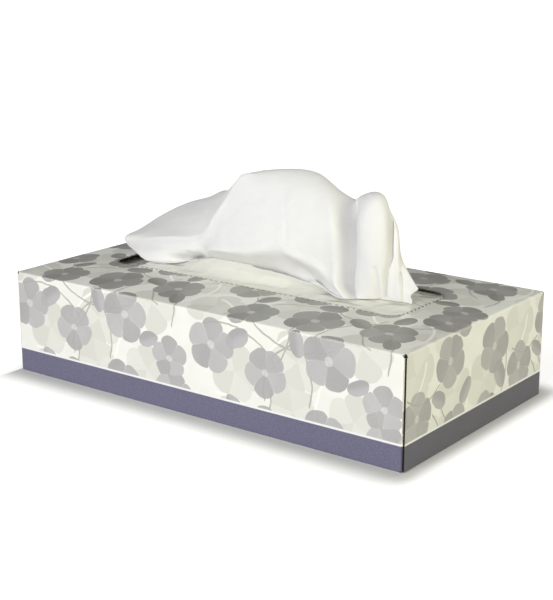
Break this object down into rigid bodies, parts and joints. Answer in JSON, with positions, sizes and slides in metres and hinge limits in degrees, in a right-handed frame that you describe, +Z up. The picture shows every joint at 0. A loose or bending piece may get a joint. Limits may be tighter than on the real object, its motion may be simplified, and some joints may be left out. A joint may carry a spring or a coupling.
{
  "type": "tissue box",
  "caption": "Flat rectangular box of facial tissues: printed paperboard carton with a film window in its top opening, and a white tissue drawn up through the slit.",
  "frame": {"origin": "middle of the carton's underside, on the surface that it stands on", "axes": "+X along the carton to its right end, +Y from the front panel to the back panel, +Z up"},
  "size_m": [0.23, 0.126, 0.1091],
  "materials": {
    "printed_board": "satin",
    "clear_film": "gloss",
    "tissue_paper": "matte"
  },
  "bodies": {
    "root": {"carton": "printed_board", "film_window": "clear_film", "tissue_stack": "tissue_paper", "pulled_tissue": "tissue_paper"}
  },
  "joints": []
}
